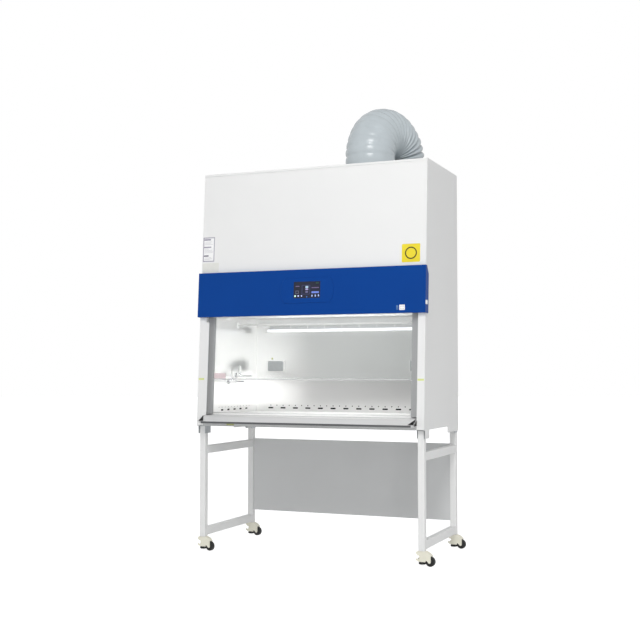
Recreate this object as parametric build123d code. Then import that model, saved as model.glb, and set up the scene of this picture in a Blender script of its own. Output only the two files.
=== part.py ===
"""Class II biological safety cabinet on a castered stand, with a flexible exhaust duct.

Every piece is modelled in the cabinet's own layout: x runs along the front from the
middle, y runs back from the foot of the front face and z is height above the floor.
The front face leans back, so pieces that lie on it are drawn in the "leaning" frame,
where y is depth behind that face and z is the way up it.
"""
import os
from math import cos, radians, sin, tan

from build123d import *

# ---- case -------------------------------------------------------------------
case_width = 1500
case_depth = 750
case_bottom = 785
case_top = 2400
front_lean = 3.5            # degrees
skin = 2                    # painted steel sheet
fit_gap = 0.5               # slack between folded sheets that slide together
front_tab_start = 23        # side panels reach down beside the front legs
front_tab_end = 110
front_tab_drop = 50
rear_tab_start = 512
rear_tab_drop = 37
tab_corner = 8
roof_lip = 14               # folded front edge of the roof
cover_split = 1728          # the upper cover starts here, behind the control panel
cover_fold = 25
upstand = 27                # front edge of the floor pan, seen under the armrest

# ---- front posts, guides and sash -------------------------------------------
post_width = 43
post_fold = 34
guide_face = 28             # depth of the guide's face behind the front
guide_thick = 20
guide_top = 2080
pane_thick = 6
pane_height = 650
pane_edge = 12              # how far the pane runs into each guide
pane_slack = 0.8
sash_rest = 1079            # bottom edge of the pane as stored
trim_height = 7
trim_lip = 9                # finger lip along the front of the trim
trim_lip_thick = 2
trim_wall = 1.6
lintel_bottom = 1500

# ---- work chamber -----------------------------------------------------------
chamber_width = 1320
chamber_back = 680
tray_top = 857
tray_depth = 43
ceiling = 1490
liner = 2                   # stainless sheet
slot_height = 10
back_slot_length = 39
back_slot_pitch = 92
back_slot_count = 13
side_slot_length = 36
side_slot_pitch = 87
side_slot_count = 5
side_slot_middle = 350
slot_level = 880
vent_level = 897
vent_radius = 4
ledge = 18

# ---- armrest ----------------------------------------------------------------
armrest_reach = 58
armrest_back = 50
armrest_rear_top = 855
armrest_front_top = 848
nose_level = 812
nose_radius = 5
nose_overshoot = 1          # the fold's sharp corner lies past its rounded nose
grille_slot_length = 30
grille_slot_width = 6
grille_slot_pitch = 42
grille_slot_count = 30

# ---- control panel ----------------------------------------------------------
panel_bottom = 1472
panel_top = 1753
panel_side = 7              # each cheek stands this far off the case side
panel_back_gap = 2          # clear of the cover behind while the panel swings
panel_skin = 2.5
panel_stand = 25
panel_wrap = 33
hinge_places = (-600, 0, 600)
hinge_length = 30           # one knuckle
hinge_radius = 3
hinge_pin = 1.5
hinge_leaf = 45
bezel_half = 177
bezel_bottom = 1546
bezel_top = 1700
bezel_thick = 3
screen_width = 177
screen_height = 102
screen_middle = 1626
screen_thick = 4
catch_size = 25
catch_depth = -13
catch_level = 1533
catch_pin = 4
cam_width = 8
cam_length = 20
cam_thick = 1.5
keeper_thick = 1.5          # strap on the case side
keeper_lug = 3              # its lug, which the cam turns behind
keeper_reach = 12

# ---- stand ------------------------------------------------------------------
tube = 40
tube_wall = 2
tube_corner = 4
rail_height = 50
leg_inset = 28              # leg centre from the case side
front_leg = 48
rear_leg = 730
leg_bottom = 93
upper_rail = 632            # height of the rail's middle
back_sheet_bottom = 175
back_sheet_top = 665
back_sheet_face = 720
back_sheet_fold = 20
bracket_plate = 3
bracket_drop = 48
bracket_length = 70

# ---- levelling casters ------------------------------------------------------
caster_heading = -8         # degrees, where the wheels trail
caster_trail = 52
wheel_radius = 29
wheel_width = 22
hub_radius = 13
axle_radius = 5
run_gap = 0.05              # radial running clearance
swivel_gap = 0.4
foot_plate = 6
swivel_radius = 7
swivel_depth = 22
housing_width = 31
housing_bottom = 24.4
pad_radius = 22
pad_bottom = 10
pad_top = 24
screw_radius = 5
ring_radius = 13
ring_bottom = 50
ring_top = 58
foot_travel = 12

# ---- sash drive -------------------------------------------------------------
drive_level = 2150
idler_level = 1530
drive_depth = 71
shaft_radius = 6
shaft_reach = 690
pulley_radius = 20
belt_thick = 2
belt_width = 10
belt_place = 642
pulley_width = 16
clear_gap = 0.5
clamp_grip = 36             # where the clamp's jaw starts above the pane
clamp_rise = 56
beam_height = 50
beam_depth = 50
beam_wall = 3
ear_thick = 8
gearbox = 70
motor_place = 560
motor_radius = 30
motor_length = 120

# ---- air system -------------------------------------------------------------
filter_half = 600
filter_front = 160
filter_rear = 650
filter_thick = 150
filter_frame = 20
pleat_pitch = 58
media_thick = 4
media_gap = 1
blower_place = -300
blower_depth = 440
blower_rise = 330           # wheel centre above the supply filter
impeller_radius = 140
impeller_width = 200
impeller_blades = 24
blade_thick = 3
scroll_inner = 165
scroll_outer = 215
scroll_width = 250
eye_radius = 100
exhaust_width = 490
exhaust_front = 330
exhaust_bottom = 1960
exhaust_filter_thick = 150
hood_top = 2330

# ---- exhaust duct -----------------------------------------------------------
duct_place = 224
duct_depth = 553
collar_radius = 151
collar_wall = 2
collar_height = 60
duct_crest = 165
duct_valley = 155
duct_bore = 151.5
duct_heading = 76.5         # degrees from +x, the way the duct arches over
bend_level = 2526
bend_radius = 188
bend_folds = 17
rise_folds = 2
drop_folds = 4
cuff_length = 90
cuff_insert = 40
clamp_width = 14
clamp_thick = 2

# ---- fittings inside the chamber --------------------------------------------
rod_radius = 5.5
rod_depth = 388
rod_drop = 57               # below the ceiling
rod_flange = 22
rod_flange_thick = 6
hook_count = 8
hook_pitch = 119
hook_first = -271
hook_wire = 1.6
hook_drop = 40
hook_bend = 8
lamp_half = 560
lamp_radius = 13
lamp_drop = 85              # below the ceiling
lamp_stand = 26
socket_place = 510
socket_width = 130
socket_height = 74
socket_middle = 1163
socket_base = 10
socket_cover_deep = 7
socket_pin = 2
tap_places = [(255, 1063), (365, 1098)]     # depth and height of each tap
tap_flange = 20
tap_body_radius = 9
tap_reach = 62
tap_stem_radius = 4
knob_radius = 9
knob_height = 42
knob_rise = 26
nozzle_length = 62
inlet_width = 60
inlet_height = 40

# ---- worked out from the sizes above ----------------------------------------
half_width = case_width / 2
panel_half = half_width + panel_side
rod_level = ceiling - rod_drop
lamp_level = ceiling - lamp_drop
inner_half = half_width - skin
post_inner = inner_half - post_width
chamber_half = chamber_width / 2
pane_half = chamber_half + pane_edge
pane_front = guide_face + guide_thick / 2 - pane_thick / 2
pane_back = pane_front + pane_thick
guide_back = guide_face + guide_thick
leg_top = case_bottom - bracket_plate
leg_x = half_width - leg_inset
lower_rail = leg_bottom + rail_height / 2
plate_bottom = leg_bottom - foot_plate
housing_top = plate_bottom - swivel_gap
belt_outer = pulley_radius + belt_thick
filter_top = ceiling + liner + filter_thick
exhaust_top = exhaust_bottom + exhaust_filter_thick
hinge_depth = -(hinge_radius + 1)
duct_fold = (bend_level - case_top - 2 * skin) / rise_folds / 2
duct_end = bend_level - 2 * drop_folds * duct_fold
duct_direction = (cos(radians(duct_heading)), sin(radians(duct_heading)))

leaning = Location((0, 0, case_bottom), (-front_lean, 0, 0))


def up(height):
    """Way up the leaning front that reaches a height above the floor."""
    return (height - case_bottom) / cos(radians(front_lean))


def front_at(height):
    """Depth of the leaning front face at a height above the floor."""
    return (height - case_bottom) * tan(radians(front_lean))


def block(x0, x1, y0, y1, z0, z1):
    """Rectangular block between two opposite corners."""
    return Pos((x0 + x1) / 2, (y0 + y1) / 2, (z0 + z1) / 2) * Box(x1 - x0, y1 - y0, z1 - z0)


def side_profile(*points):
    """Closed outline in depth and height, ready to be extruded along x."""
    return Plane.YZ * make_face(Polyline(*points, close=True))


def across(sketch, x0, x1):
    """Extrude a side profile from x0 to x1."""
    return Pos(x0, 0, 0) * extrude(sketch, x1 - x0, dir=(1, 0, 0))


def both_sides(piece):
    """The piece and its mirror image in the middle plane of the cabinet."""
    return [piece, mirror(piece, about=Plane.YZ)]


def square_tube(width, height, length):
    """Hollow section standing along z, centred on its axis."""
    inner = RectangleRounded(width - 2 * tube_wall, height - 2 * tube_wall, tube_corner - tube_wall)
    return extrude(RectangleRounded(width, height, tube_corner) - inner, length)


# ---- case panels ------------------------------------------------------------
def side_panel():
    """Right-hand side sheet, with the tabs that reach down beside the legs."""
    front_foot = case_bottom - front_tab_drop
    rear_foot = case_bottom - rear_tab_drop
    outline = side_profile(
        (front_at(case_bottom), case_bottom),
        (front_tab_start, case_bottom),
        (front_tab_start, front_foot),
        (front_tab_end, front_foot),
        (front_tab_end, case_bottom),
        (rear_tab_start, case_bottom),
        (rear_tab_start, rear_foot),
        (case_depth, rear_foot),
        (case_depth, case_top - skin),
        (front_at(case_top) + skin, case_top - skin),
        (front_at(case_top) + skin, case_top - roof_lip),
        (front_at(case_top - roof_lip), case_top - roof_lip),
    )
    rounded = [v for v in outline.vertices() if v.Z < case_bottom - 1 and v.Y < case_depth - 1]
    return across(fillet(rounded, tab_corner), inner_half, half_width)


def keeper():
    """Strap on the right-hand side sheet, with the lug that the panel's cam turns behind."""
    high = up(catch_level) - cam_width / 2 - 2
    low = up(catch_level) - cam_length + cam_width / 2
    face = catch_depth - cam_width / 2 - fit_gap - keeper_lug
    strap = block(half_width, half_width + keeper_thick, face, keeper_reach, low, high)
    lug = block(half_width, half_width + keeper_lug, face, face + keeper_lug, low, high)
    return leaning * (strap + lug)


def rear_panel():
    return block(-inner_half, inner_half, case_depth - skin, case_depth, case_bottom, case_top - skin)


def roof():
    """Top sheet with its folded front lip, the duct opening and the supply air inlet."""
    lip_bottom = case_top - roof_lip
    outline = side_profile(
        (front_at(lip_bottom), lip_bottom),
        (front_at(case_top), case_top),
        (case_depth, case_top),
        (case_depth, case_top - skin),
        (front_at(case_top) + skin, case_top - skin),
        (front_at(lip_bottom) + skin, lip_bottom),
    )
    corner = [v for v in outline.vertices() if v.Z > case_top - 1 and v.Y < case_depth / 2]
    sheet = across(fillet(corner, skin), -half_width, half_width)
    sheet -= Pos(duct_place, duct_depth, case_top) * Cylinder(collar_radius + fit_gap, 4 * skin)
    inlet_slots = GridLocations(0, 28, 1, 9)
    slots = [spot * SlotOverall(240, 12) for spot in inlet_slots]
    return sheet - Pos(blower_place, blower_depth, case_top - 2 * skin) * extrude(Sketch() + slots, 4 * skin)


def floor_pan():
    """Bottom sheet with its front upstand, notched for the feet of the front posts."""
    notch = post_fold + 3
    outline = Polyline(
        (-post_inner + fit_gap, 0),
        (post_inner - fit_gap, 0),
        (post_inner - fit_gap, notch),
        (inner_half, notch),
        (inner_half, case_depth - skin),
        (-inner_half, case_depth - skin),
        (-inner_half, notch),
        (-post_inner + fit_gap, notch),
        close=True,
    )
    sheet = Pos(0, 0, case_bottom) * extrude(make_face(outline), skin)
    lip = block(-post_inner + fit_gap, post_inner - fit_gap, 0, skin, case_bottom, case_bottom + upstand)
    return sheet + lip


def upper_cover():
    """Removable front cover: a pan folded back on all four sides."""
    low = up(cover_split)
    high = up(case_top - roof_lip) - fit_gap
    wide = inner_half - fit_gap
    pan = block(-wide, wide, 0, cover_fold, low, high)
    pan -= block(-wide + skin, wide - skin, skin, cover_fold, low + skin, high - skin)
    front_edges = pan.edges().filter_by(Axis.X).group_by(Axis.Y)[0]
    pan = fillet(front_edges, skin)
    level = hinge_level()
    half = hinge_length / 2 - fit_gap
    for x in hinge_places:
        pan += block(x - half, x + half, hinge_depth + hinge_radius, 0, level - hinge_leaf, level)
        pan += block(x - half, x + half, hinge_depth, 0, level - hinge_radius, level)
        pan += knuckle(x, 2 * half, hinge_radius)
        pan += knuckle(x, 3 * hinge_length - 2 * fit_gap, hinge_pin)
    return leaning * pan


def hinge_level():
    """Way up the leaning front to the control panel's hinge line."""
    return up(panel_top) - hinge_radius


def knuckle(x, length, radius):
    """Barrel on the hinge line, in the leaning frame."""
    return Pos(x, hinge_depth, hinge_level()) * Rot(0, 90, 0) * Cylinder(radius, length)


def lintel():
    """Sheet behind the control panel, folded back over the pane at its foot."""
    low = up(lintel_bottom)
    high = up(cover_split) - fit_gap
    wide = post_inner - fit_gap
    sheet = block(-wide, wide, 0, skin, low, high)
    sheet += block(-wide, wide, 0, guide_face, low, low + skin)
    return leaning * sheet


def front_post():
    """Channel down the right-hand side of the front, open towards the back."""
    channel = Rectangle(post_width, post_fold) - Pos(0, skin) * Rectangle(post_width - 2 * skin, post_fold)
    middle = inner_half - post_width / 2
    bar = Pos(middle, post_fold / 2, 3) * extrude(channel, up(cover_split) - fit_gap - 3)
    return leaning * bar


def sash_guide():
    """Right-hand guide extrusion, with the pin that carries the lower belt pulley."""
    outer = post_inner - fit_gap
    span = outer - chamber_half
    middle_y = guide_face + guide_thick / 2
    bar = Pos(chamber_half + span / 2, middle_y) * Rectangle(span, guide_thick)
    groove_end = pane_half + pane_slack
    groove = Pos((chamber_half + groove_end) / 2, middle_y) * Rectangle(
        groove_end - chamber_half, pane_thick + 2 * pane_slack
    )
    core_start = groove_end + 3
    core = Pos((core_start + outer - 3) / 2, middle_y) * Rectangle(outer - 3 - core_start, guide_thick - 6)
    rail = Pos(0, 0, up(armrest_rear_top) + 6) * extrude(
        bar - groove - core, up(guide_top) - up(armrest_rear_top) - 6
    )
    ear = block(outer - 6, outer, guide_back, drive_depth + 20, up(idler_level) - 25, up(idler_level) + 25)
    pin_reach = outer - belt_place + pulley_width / 2 + 2
    pin = Pos(outer - pin_reach / 2, drive_depth, up(idler_level)) * Rot(0, 90, 0) * Cylinder(
        shaft_radius - 2, pin_reach
    )
    return leaning * (rail + ear + pin)


# ---- chamber ----------------------------------------------------------------
def side_liner():
    """Right-hand chamber wall with its exhaust slots, vents and the ledge for the tray."""
    foot = case_bottom + skin
    outline = side_profile(
        (front_at(foot) + guide_back + 2, foot),
        (chamber_back, foot),
        (chamber_back, ceiling),
        (front_at(ceiling) + guide_back + 2, ceiling),
    )
    wall = across(outline, chamber_half, chamber_half + liner)
    slot_run = (side_slot_count - 1) * side_slot_pitch
    for index in range(side_slot_count):
        place = side_slot_middle - slot_run / 2 + index * side_slot_pitch
        slot = Plane.YZ * (Pos(place, slot_level) * SlotOverall(side_slot_length, slot_height))
        wall -= across(slot, chamber_half - 1, chamber_half + liner + 1)
    for index in range(2 * side_slot_count + 1):
        place = side_slot_middle - slot_run / 2 - side_slot_pitch / 2 + index * side_slot_pitch / 2
        vent = Plane.YZ * (Pos(place, vent_level) * Circle(vent_radius))
        wall -= across(vent, chamber_half - 1, chamber_half + liner + 1)
    shelf_top = tray_top - tray_depth
    return wall + block(
        chamber_half - ledge, chamber_half, front_at(foot) + guide_back + 40, chamber_back,
        shelf_top - liner, shelf_top,
    )


def back_liner():
    """Rear chamber wall with its row of exhaust slots and the vents above them."""
    foot = case_bottom + skin
    wide = chamber_half + liner
    wall = block(-wide, wide, chamber_back, chamber_back + liner, foot, ceiling)
    slot_run = (back_slot_count - 1) * back_slot_pitch
    cutter_plane = Plane(origin=(0, chamber_back - 1, 0), x_dir=(-1, 0, 0), z_dir=(0, 1, 0))
    cuts = []
    for index in range(back_slot_count):
        place = slot_run / 2 - index * back_slot_pitch
        cuts.append(Pos(place, slot_level) * SlotOverall(back_slot_length, slot_height))
    for index in range(2 * back_slot_count - 1):
        place = slot_run / 2 - index * back_slot_pitch / 2
        cuts.append(Pos(place, vent_level) * Circle(vent_radius))
    return wall - extrude(cutter_plane * (Sketch() + cuts), liner + 2)


def diffuser():
    """Perforated ceiling sheet that spreads the clean air."""
    front_edge = front_at(ceiling) + guide_back + 2
    rear_edge = chamber_back + liner
    wide = chamber_half + liner
    sheet = block(-wide, wide, front_edge, rear_edge, ceiling, ceiling + liner)
    middle = (filter_front + filter_rear) / 2
    holes = [spot * Rectangle(64, 26) for spot in GridLocations(92, 62, 12, 7)]
    return sheet - Pos(0, middle, ceiling - 1) * extrude(Sketch() + holes, liner + 2)


def work_tray():
    """Removable stainless work surface: an inverted pan standing on the ledges."""
    wide = chamber_half - 2
    front_edge = armrest_back + 2
    rear_edge = chamber_back - 2
    pan = block(-wide, wide, front_edge, rear_edge, tray_top - tray_depth, tray_top)
    pan -= block(
        -wide + liner, wide - liner, front_edge + liner, rear_edge - liner,
        tray_top - tray_depth, tray_top - liner,
    )
    rim = pan.edges().group_by(Axis.Z)[-1]
    return fillet(rim, liner)


def armrest():
    """Front grille: a folded sheet with a sloping armrest, its nose and the intake slots."""
    nose = -armrest_reach - nose_overshoot
    path = FilletPolyline(
        (armrest_back, nose_level + 4),
        (armrest_back, armrest_rear_top),
        (4, armrest_front_top),
        (nose, nose_level + 3),
        (nose + 8, nose_level - 6),
        (-skin / 2 - 0.2, nose_level - 4),
        radius=[3, 5, nose_radius, 3],
    )
    sheet = Plane.YZ * make_face(offset(path, amount=skin / 2, side=Side.BOTH))
    wide = post_inner - fit_gap
    piece = across(sheet, -wide, wide)
    slots = [spot * SlotOverall(grille_slot_length, grille_slot_width)
             for spot in GridLocations(grille_slot_pitch, 0, grille_slot_count, 1)]
    middle = (4 + armrest_back) / 2
    piece -= Pos(0, middle, armrest_front_top - 15) * extrude(Sketch() + slots, 40)
    return piece


# ---- control panel ----------------------------------------------------------
def control_panel():
    """Blue front housing that swings up, with cheeks that wrap the case sides."""
    low = up(panel_bottom)
    high = up(panel_top)
    face = -panel_stand
    wide = panel_half - panel_skin
    shell = block(-panel_half, panel_half, face, -panel_back_gap, low, high)
    shell -= block(-wide, wide, face + panel_skin, 0, low + panel_skin, high - panel_skin)
    cheek = side_profile(
        (face, low + 6),
        (face + 6, low),
        (panel_wrap - 6, low),
        (panel_wrap, low + 6),
        (panel_wrap, high - 48),
        (-panel_back_gap, high),
        (face, high),
    )
    ends = across(cheek, wide, panel_half)
    shell = shell + ends + mirror(ends, about=Plane.YZ)
    shell -= block(-screen_width / 2 - 1, screen_width / 2 + 1, face - 1, face + panel_skin + 1,
                   up(screen_middle) - screen_height / 2 - 1, up(screen_middle) + screen_height / 2 + 1)
    half = hinge_length / 2
    for x in hinge_places:
        shell -= block(x - half, x + half, hinge_depth - hinge_radius - 1, 0,
                       high - 2 * hinge_radius - 1, high + 1)
        for side in (-hinge_length, hinge_length):
            shell += knuckle(x + side, hinge_length, hinge_radius)
        shell -= knuckle(x, 3 * hinge_length, hinge_pin + run_gap)
    shell -= Pos(panel_half, catch_depth, up(catch_level)) * Rot(0, 90, 0) * Cylinder(
        catch_pin + run_gap, 4 * panel_skin)
    return leaning * shell


def display_bezel():
    """Raised surround with bowed ends, open over the screen."""
    low = up(bezel_bottom)
    high = up(bezel_top)
    middle = (low + high) / 2
    tall = (high - low) / 2
    bow = 26
    outline = make_face([
        Line((-bezel_half + bow, tall), (bezel_half - bow, tall)),
        ThreePointArc((bezel_half - bow, tall), (bezel_half, 0), (bezel_half - bow, -tall)),
        Line((bezel_half - bow, -tall), (-bezel_half + bow, -tall)),
        ThreePointArc((-bezel_half + bow, -tall), (-bezel_half, 0), (-bezel_half + bow, tall)),
    ])
    window = Pos(0, up(screen_middle) - middle) * Rectangle(screen_width, screen_height)
    plate = extrude(outline - window, bezel_thick)
    rim = plate.faces().sort_by(Axis.Z)[-1].outer_wire().edges()
    plate = chamfer(rim, bezel_thick / 2)
    return leaning * Pos(0, -panel_stand, middle) * Rot(90, 0, 0) * plate


def display_screen():
    face = -panel_stand - bezel_thick + 1
    wide = screen_width / 2 - fit_gap / 2
    tall = screen_height / 2 - fit_gap / 2
    pane = block(-wide, wide, face, face + screen_thick + panel_skin,
                 up(screen_middle) - tall, up(screen_middle) + tall)
    return leaning * pane


def panel_catch():
    """Square quarter-turn lock on the right cheek, with its pin and cam."""
    knob = Pos(0, 0, 3) * Box(catch_size, catch_size, 6)
    knob = fillet(knob.edges().filter_by(Axis.Z), 4)
    knob = chamfer(knob.faces().sort_by(Axis.Z)[-1].edges(), 1)
    knob -= Pos(0, 0, 6) * Box(3, 12, 3)
    pin = Pos(0, 0, -2) * Cylinder(catch_pin, 5)
    cam = Pos((cam_length - cam_width) / 2, 0, -4) * Box(cam_length, cam_width, cam_thick)
    lock = knob + pin + cam
    turn = Location((panel_half + 0.3, catch_depth, up(catch_level)), (0, 90, 0))
    return leaning * turn * lock


# ---- stand ------------------------------------------------------------------
def leg_places():
    return [(side * leg_x, y) for side in (-1, 1) for y in (front_leg, rear_leg)]


def stand_legs():
    """Four square legs, each with its foot plate and the pin its caster swivels on."""
    legs = []
    for x, y in leg_places():
        leg = Pos(x, y, leg_bottom) * square_tube(tube, tube, leg_top - leg_bottom)
        plate = Pos(x, y, plate_bottom) * extrude(RectangleRounded(tube, tube, tube_corner), foot_plate)
        pin = Pos(x, y, plate_bottom - swivel_depth) * extrude(Circle(swivel_radius), swivel_depth)
        legs.append(leg + plate + pin)
    return legs


def stand_rails():
    """Upper and lower rails that join the legs on each side."""
    start = front_leg + tube / 2
    length = rear_leg - front_leg - tube
    rails = []
    for side in (-1, 1):
        for level in (lower_rail, upper_rail):
            rails.append(Pos(side * leg_x, start, level) * Rot(-90, 0, 0)
                         * square_tube(tube, rail_height, length))
    return rails


def stand_back():
    """Sheet between the rear legs, folded back at its edges."""
    wide = leg_x - tube / 2
    rear = back_sheet_face + back_sheet_fold
    pan = block(-wide, wide, back_sheet_face, rear, back_sheet_bottom, back_sheet_top)
    return pan - block(-wide + skin, wide - skin, back_sheet_face + skin, rear,
                       back_sheet_bottom + skin, back_sheet_top - skin)


def leg_brackets():
    """Channels under the floor pan that straddle the leg tops."""
    outer = tube + 2 * bracket_plate
    brackets = []
    for x, y in leg_places():
        start = y - tube / 2 - 4 if y == front_leg else y + tube / 2 - bracket_length - skin
        channel = block(-outer / 2, outer / 2, start, start + bracket_length,
                        case_bottom - bracket_drop, case_bottom)
        channel -= block(-tube / 2, tube / 2, start, start + bracket_length,
                         case_bottom - bracket_drop, leg_top)
        brackets.append(Pos(x, 0, 0) * channel)
    return brackets


# ---- casters ----------------------------------------------------------------
def caster_frame(x, y):
    """Where a caster stands: on its swivel axis at floor level, trailing along its own x."""
    return Location((x, y, 0), (0, 0, caster_heading))


def caster_housing():
    """Cast housing: fork, fender and the jaw that shows the adjusting ring."""
    top = housing_top
    outline = make_face([
        Polyline((-22, housing_bottom), (-33, 31), (-36, 37), (-33, 43), (-27, 45),
                 (-27, ring_top + 6), (-36, 70), (-38, 75), (-30, top - 3), (-20, top), (24, top)),
        ThreePointArc((24, top), (46, 78), (62, 63)),
        Polyline((62, 63), (59, 58), (caster_trail + 7, wheel_radius - 4)),
        ThreePointArc((caster_trail + 7, wheel_radius - 4), (caster_trail - 1, 19),
                      (caster_trail - 9, wheel_radius - 5)),
        Polyline((caster_trail - 9, wheel_radius - 5), (30, 36), (24, housing_bottom),
                 (-22, housing_bottom)),
    ])
    body = Plane.XZ * outline
    cast = extrude(body, housing_width / 2, both=True)
    edges = [e for e in cast.edges().filter_by(Axis.Y) if e.center().X < 30]
    cast = fillet(edges, 1.2)
    axle = Pos(caster_trail, 0, wheel_radius) * Rot(90, 0, 0)
    cast -= axle * Cylinder(wheel_radius + 3, wheel_width + 2)
    jaw_half = ring_radius + 1.5
    jaw = block(-60, 0, -jaw_half, jaw_half, ring_bottom - foot_travel - 1.5, ring_top + 1.5)
    jaw += Pos(0, 0, (ring_bottom - foot_travel + ring_top) / 2) * Cylinder(
        jaw_half, ring_top - ring_bottom + foot_travel + 3)
    window = block(-27, 0, -60, 60, ring_bottom - foot_travel + 2, ring_top + 1.5)
    cast -= jaw & block(-60, 60, -housing_width / 2 + 1.5, housing_width / 2 - 1.5, 0, top)
    cast -= window & block(-60, -14, -60, 60, 0, top)
    cast -= Pos(0, 0, (housing_bottom + ring_bottom) / 2) * Cylinder(screw_radius + run_gap, 60)
    cast -= Pos(0, 0, top - swivel_depth / 2) * Cylinder(swivel_radius + run_gap, swivel_depth + 2)
    return cast + axle * Cylinder(axle_radius, housing_width)


def caster_wheel():
    """Tyred wheel with a dished hub, on the housing's axle."""
    half = wheel_width / 2
    section = make_face(Polyline(
        (axle_radius + run_gap, -half), (hub_radius - 4, -half), (hub_radius, -half + 3),
        (wheel_radius - 8, -half + 3), (wheel_radius - 5, -half), (wheel_radius - 1.5, -half),
        (wheel_radius, -half + 2), (wheel_radius, half - 2), (wheel_radius - 1.5, half),
        (wheel_radius - 5, half), (wheel_radius - 8, half - 3), (hub_radius, half - 3),
        (hub_radius - 4, half), (axle_radius + run_gap, half), close=True,
    ))
    wheel = revolve(Plane.XZ * section, Axis.Z)
    return Pos(caster_trail, 0, wheel_radius) * Rot(90, 0, 0) * wheel


def caster_foot():
    """Rubber-faced foot, its screw and the ribbed ring that turns it."""
    section = make_face(Polyline(
        (0, pad_bottom), (pad_radius - 2, pad_bottom), (pad_radius, pad_bottom + 3),
        (pad_radius, pad_top - 4), (pad_radius - 6, pad_top), (screw_radius, pad_top),
        (screw_radius, ring_bottom), (ring_radius, ring_bottom), (ring_radius, ring_top),
        (screw_radius, ring_top), (screw_radius, ring_top + 1.2), (0, ring_top + 1.2), close=True,
    ))
    foot = revolve(Plane.XZ * section, Axis.Z)
    grip = extrude(Pos(ring_radius, 0) * Circle(1.6), ring_top - ring_bottom)
    for spot in PolarLocations(0, 12):
        foot -= Pos(0, 0, ring_bottom) * spot * grip
    return foot


# ---- sash and its drive -----------------------------------------------------
def sash_pane():
    low = up(sash_rest)
    pane = block(-pane_half, pane_half, pane_front, pane_back, low, low + pane_height)
    return leaning * pane


def sash_trim():
    """Thin channel along the pane's lower edge, which is its handle."""
    low = up(sash_rest)
    wide = chamber_half - 4
    rail = block(-wide, wide, pane_front - trim_wall, pane_back + trim_wall, low - trim_wall, low + trim_height)
    rail -= block(-wide, wide, pane_front, pane_back, low, low + trim_height)
    rail += block(-wide, wide, pane_front - trim_lip, pane_front - trim_wall, low, low + trim_lip_thick)
    return leaning * rail


def sash_clamp():
    """Plate on the pane's top corner that carries it on the belt."""
    top = up(sash_rest) + pane_height
    half = pulley_width / 2
    plate = block(belt_place - half, belt_place + half, pane_back, pane_back + 3, top - 30, top + clamp_rise)
    jaw_back = drive_depth - belt_outer - clear_gap
    jaw = block(belt_place - half, belt_place + half, pane_back, jaw_back, top + clamp_grip, top + clamp_rise)
    return leaning * (plate + jaw)


def toothed_pulley(bore):
    """Flanged belt pulley lying along x, centred on its own middle."""
    tread = pulley_radius - 0.3
    drum = Cylinder(tread, pulley_width)
    tooth = Pos(tread, 0, 0) * Box(2.4, 2.4, pulley_width)
    for spot in PolarLocations(0, 20):
        drum -= spot * tooth
    rim = Cylinder(belt_outer + 1, 2)
    edge = pulley_width / 2 - 1
    drum = drum + Pos(0, 0, edge) * rim + Pos(0, 0, -edge) * rim
    return Rot(0, 90, 0) * (drum - Cylinder(bore, pulley_width + 2)) if bore else Rot(0, 90, 0) * drum


def drive_shaft():
    """Cross shaft with a belt pulley at each end."""
    at_level = Pos(0, drive_depth, up(drive_level))
    shaft = at_level * Rot(0, 90, 0) * Cylinder(shaft_radius, 2 * shaft_reach)
    pulleys = both_sides(Pos(belt_place, 0, 0) * toothed_pulley(0))
    return leaning * (shaft + at_level * pulleys[0] + at_level * pulleys[1])


def idler_pulley():
    centre = Pos(belt_place, drive_depth, up(idler_level))
    return leaning * centre * toothed_pulley(shaft_radius - 2 + run_gap)


def drive_belt():
    """Endless belt round the drive pulley and the idler below it."""
    run = up(drive_level) - up(idler_level)
    loop = SlotCenterToCenter(run, 2 * belt_outer) - SlotCenterToCenter(run, 2 * pulley_radius)
    band = extrude(Plane.YZ * (Rot(0, 0, 90) * loop), belt_width / 2, both=True)
    return leaning * Pos(belt_place, drive_depth, (up(drive_level) + up(idler_level)) / 2) * band


def drive_beam():
    """Channel between the case sides, with the ears that hold the shaft."""
    low = up(drive_level) + gearbox / 2
    start = drive_depth - beam_depth / 2
    beam = block(-inner_half, inner_half, start, start + beam_depth, low, low + beam_height)
    beam -= block(-inner_half, inner_half, start + beam_wall, start + beam_depth,
                  low + beam_wall, low + beam_height - beam_wall)
    ear = block(shaft_reach - 30, shaft_reach - 30 + ear_thick, start, start + beam_depth,
                up(drive_level) - 20, low)
    ear -= Pos(shaft_reach - 26, drive_depth, up(drive_level)) * Rot(0, 90, 0) * Cylinder(
        shaft_radius + run_gap, 40)
    return leaning * (beam + ear + mirror(ear, about=Plane.YZ))


def drive_motor():
    """Worm gearmotor on the shaft, bolted up under the beam."""
    centre = Pos(motor_place, drive_depth, up(drive_level))
    box = fillet(Box(60, gearbox, gearbox).edges().filter_by(Axis.X), 6)
    box -= Rot(0, 90, 0) * Cylinder(shaft_radius + 0.3, 80)
    motor = Pos(0, gearbox / 2 + motor_length / 2, 0) * Rot(90, 0, 0) * Cylinder(motor_radius, motor_length)
    return leaning * centre * (box + motor)


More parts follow.
